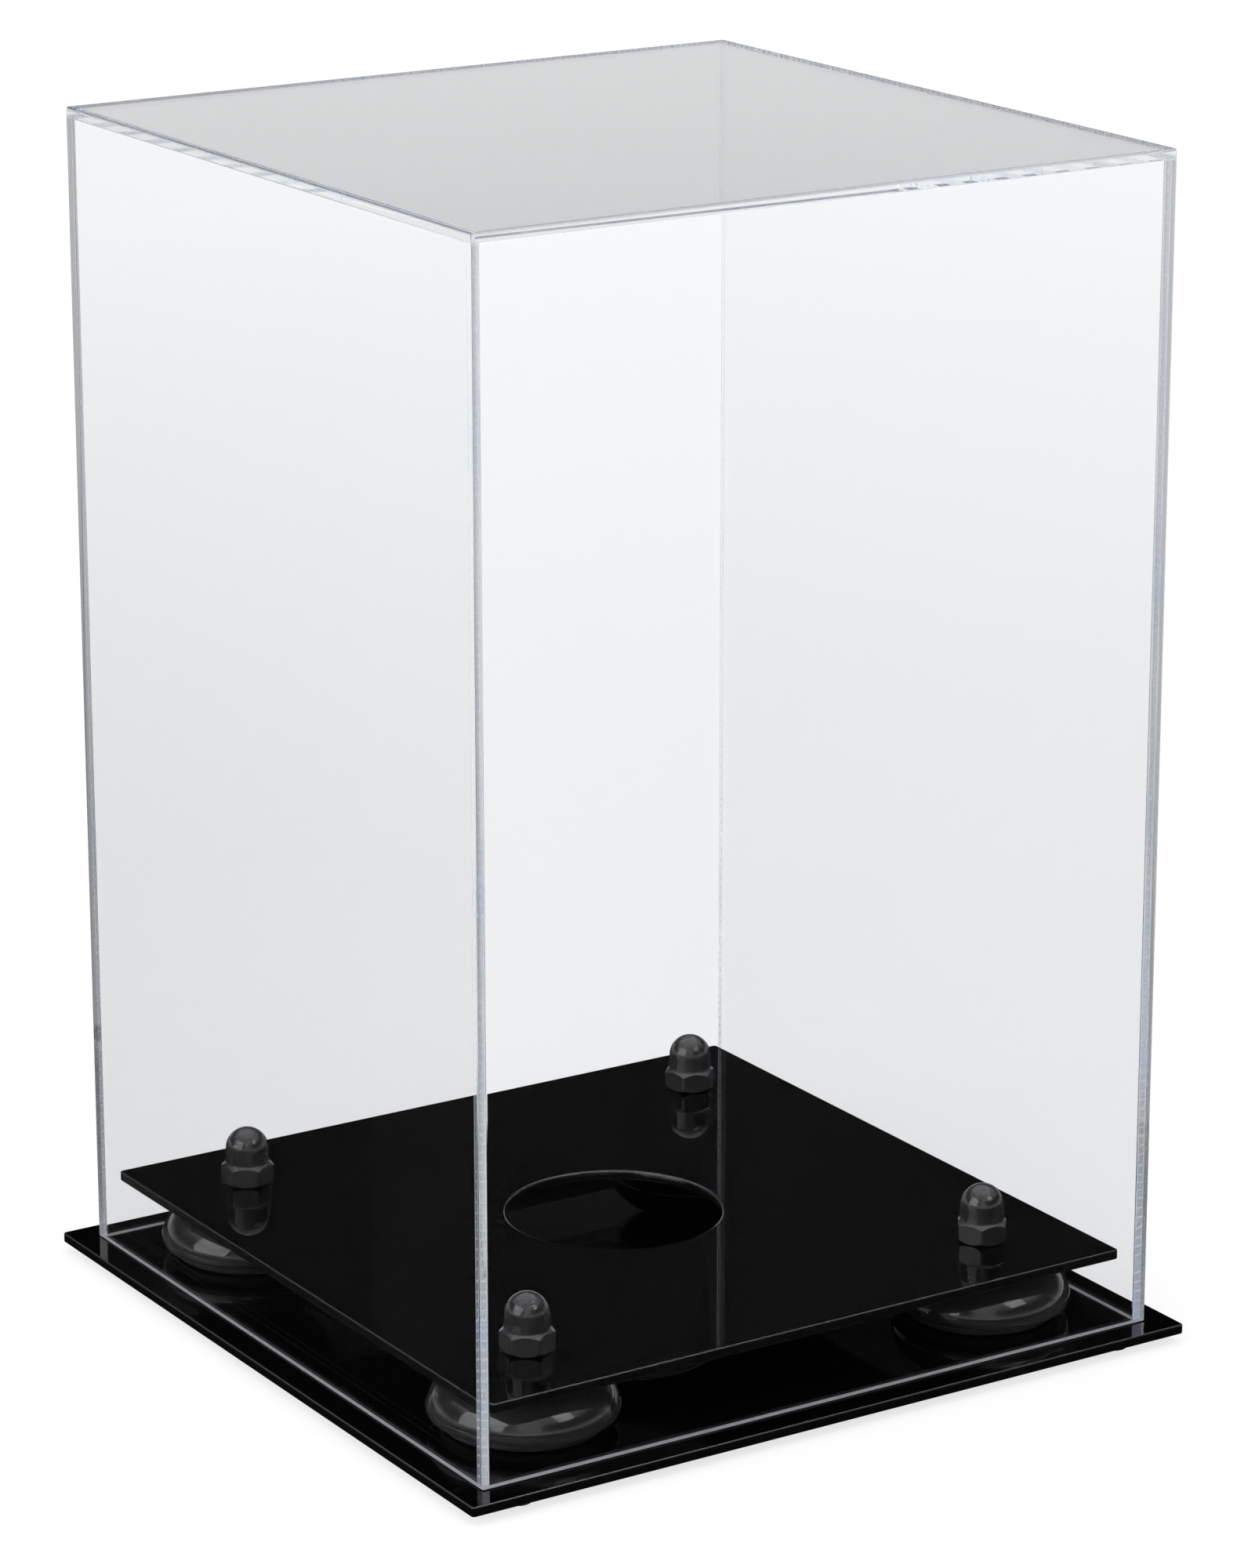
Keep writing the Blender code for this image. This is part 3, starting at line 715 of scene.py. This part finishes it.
# =====================================================================
#  floor, world, lamps
# =====================================================================
def mat_floor():
    """Pale paper: lit by the lamps plus its own even glow, so it reads as a
    white sweep.  What the gloss faces mirror of it is dimmer close by."""
    n = Nodes("pale_floor")
    co = n.coords()
    tone = n.noise(co, 1.3, 3.0)
    fibre = n.noise(co, 900.0, 2.0)
    col = n.mix_rgb(tone, (0.20, 0.20, 0.20), (0.23, 0.23, 0.228))
    flat = n.mapping(co, scale=(1, 1, 0))
    length = n.tree.nodes.new("ShaderNodeVectorMath")
    length.operation = "LENGTH"
    n.set(length, "i0", flat)
    away = length.outputs["Value"]
    path = n.tree.nodes.new("ShaderNodeLightPath")
    gloss = path.outputs["Glossy Depth"]
    direct = n.math("LESS_THAN", gloss, 0.5)
    many = n.remap(gloss, 1.5, 2.5, 0.0, 1.0)
    dif = n.new("ShaderNodeBsdfDiffuse")
    n.set(dif, "Color", col)
    n.set(dif, "Normal", n.bump(fibre, 0.1, 0.0002))
    glow = n.new("ShaderNodeEmission")
    glow.inputs["Color"].default_value = (1, 1, 1, 1)
    n.set(glow, "Strength", n.remap(away, 0.5, 3.5, 0.75, 0.86))
    add = n.new("ShaderNodeAddShader")
    n.tree.links.new(dif.outputs[0], add.inputs[0])
    n.tree.links.new(glow.outputs[0], add.inputs[1])
    seen = n.new("ShaderNodeEmission")
    seen.inputs["Color"].default_value = (1, 1, 1, 1)
    once = n.remap(away, 0.52, 1.7, 0.004, 0.6)
    piped = n.remap(gloss, 6.0, 34.0, 0.90, 0.42)        # light that has run a long way inside a sheet
    more = n.math("MULTIPLY", n.remap(away, 0.1, 0.8, 0.6, 1.0), piped)
    pick = n.new("ShaderNodeMix")
    n.set(pick, "i0", many)
    n.set(pick, "i2", once)
    n.set(pick, "i3", more)
    n.set(seen, "Strength", pick.outputs[0])
    mix = n.new("ShaderNodeMixShader")
    n.set(mix, "Fac", direct)
    n.tree.links.new(seen.outputs[0], mix.inputs[1])
    n.tree.links.new(add.outputs[0], mix.inputs[2])
    return n.surface(mix.outputs[0])


bm = bmesh.new()
bmesh.ops.create_circle(bm, cap_ends=True, segments=96, radius=14.0)
floor = link(bpy.data.objects.new("pale_floor", finish_mesh(bm, "pale_floor")))
floor.data.materials.append(mat_floor())
floor.location = (0, 0, 0)

def studio_world():
    """White beyond the floor; the room the gloss faces mirror is dark low
    down, lighter overhead and on the side the picture is taken from."""
    world = bpy.data.worlds.new("studio")
    world.use_nodes = True
    tree = world.node_tree
    tree.nodes.clear()

    def node(kind, **values):
        made = tree.nodes.new(kind)
        for key, value in values.items():
            sock = made.inputs[int(key[1:])] if key[1:].isdigit() else made.inputs[key]
            if isinstance(value, bpy.types.NodeSocket):
                tree.links.new(value, sock)
            else:
                sock.default_value = value
        return made

    def calc(op, a, b):
        made = node("ShaderNodeMath", i0=a, i1=b)
        made.operation = op
        return made.outputs[0]

    def smooth(value, a0, a1, b0, b1):
        made = node("ShaderNodeMapRange", i0=value)
        made.interpolation_type = "SMOOTHSTEP"
        for k, v in zip((1, 2, 3, 4), (a0, a1, b0, b1)):
            made.inputs[k].default_value = v
        return made.outputs[0]

    path = tree.nodes.new("ShaderNodeLightPath")
    gloss, diffuse = path.outputs["Glossy Depth"], path.outputs["Diffuse Depth"]
    ray = tree.nodes.new("ShaderNodeTexCoord").outputs["Generated"]
    sep = tree.nodes.new("ShaderNodeSeparateXYZ")
    tree.links.new(ray, sep.inputs[0])
    high = smooth(sep.outputs[2], 0.43, 0.70, 0.0, 1.0)
    dot = tree.nodes.new("ShaderNodeVectorMath")
    dot.operation = "DOT_PRODUCT"
    tree.links.new(ray, dot.inputs[0])
    dot.inputs[1].default_value = (-0.52, -0.81, 0.26)
    near_camera = smooth(dot.outputs["Value"], 0.80, 0.97, 0.0, 0.4)
    horizon = smooth(sep.outputs[2], 0.05, 0.28, 0.9, 0.0)
    room = calc("ADD", calc("ADD", high, near_camera), calc("ADD", horizon, 0.006))
    third = smooth(gloss, 2.2, 2.8, 0.0, 1.0)
    second = smooth(gloss, 1.2, 1.8, 0.0, 1.0)
    strength = calc("MAXIMUM", room, calc("MAXIMUM", calc("MULTIPLY", third, smooth(gloss, 6.0, 34.0, 0.90, 0.42)), calc("MULTIPLY", second, 0.03)))
    low_diffuse = calc("MULTIPLY", smooth(diffuse, 0.2, 0.8, 0.0, 1.0), 0.25)
    strength = calc("MAXIMUM", strength, low_diffuse)
    plain = calc("LESS_THAN", calc("ADD", gloss, diffuse), 0.5)
    final = node("ShaderNodeMix", i0=plain, i2=strength, i3=1.02)
    back = node("ShaderNodeBackground", i1=final.outputs[0])
    back.inputs[0].default_value = (1, 1, 1, 1)
    out = tree.nodes.new("ShaderNodeOutputWorld")
    tree.links.new(back.outputs[0], out.inputs["Surface"])
    return world


scene.world = studio_world()


def lamp(name, azimuth, elevation, distance, width, height, radiance, colour=(1, 1, 1), target=(0, 0, 0.1)):
    """Soft box. azimuth is measured from +Y towards +X, seen from above."""
    data = bpy.data.lights.new(name, "AREA")
    data.shape = "RECTANGLE"
    data.size, data.size_y = width, height
    data.energy = radiance * math.pi * width * height
    data.color = colour
    obj = link(bpy.data.objects.new(name, data))
    a, e = math.radians(azimuth), math.radians(elevation)
    direction = Vector((math.sin(a) * math.cos(e), math.cos(a) * math.cos(e), math.sin(e)))
    obj.location = Vector(target) + direction * distance
    obj.rotation_euler = direction.to_track_quat("Z", "Y").to_euler()
    obj.visible_camera = False
    return obj


lamp("key_left", -95, 24, 2.2, 1.9, 1.5, 3.4)
lamp("window_front_right", 158, 42, 2.6, 0.95, 1.0, 3.0)
lamp("overhead", 20, 82, 2.6, 3.4, 3.0, 1.05)
lamp("fill_camera_side", -150, 22, 3.2, 1.6, 1.2, 0.7)

# =====================================================================
#  camera
# =====================================================================
cam_data = bpy.data.cameras.new("camera")
cam_data.sensor_fit = "AUTO"
cam_data.sensor_width = 36.0
cam_data.lens = 126.65
cam_data.clip_start = 0.05
cam_data.clip_end = 60.0
cam = link(bpy.data.objects.new("camera", cam_data))
AZ, EL, ROLL = math.radians(-32.52), math.radians(16.653), math.radians(0.03)
back = Vector((math.sin(AZ) * math.cos(EL), -math.cos(AZ) * math.cos(EL), math.sin(EL)))
right = Vector((math.cos(AZ), math.sin(AZ), 0.0))
up = back.cross(right)
cr, sr = math.cos(ROLL), math.sin(ROLL)
right_r = right * cr - up * sr
up_r = up * cr + right * sr
m = Matrix((right_r, up_r, back)).transposed().to_4x4()
m.translation = Vector((-0.76315, -1.20367, 0.56895 + BASE_TOP))
cam.matrix_world = m
scene.camera = cam

scene.view_settings.view_transform = "Standard"
scene.view_settings.look = "None"
scene.cycles.max_bounces = 96
scene.cycles.transmission_bounces = 96
scene.cycles.glossy_bounces = 96
scene.cycles.diffuse_bounces = 2
scene.cycles.transparent_max_bounces = 24
scene.cycles.sample_clamp_indirect = 6.0
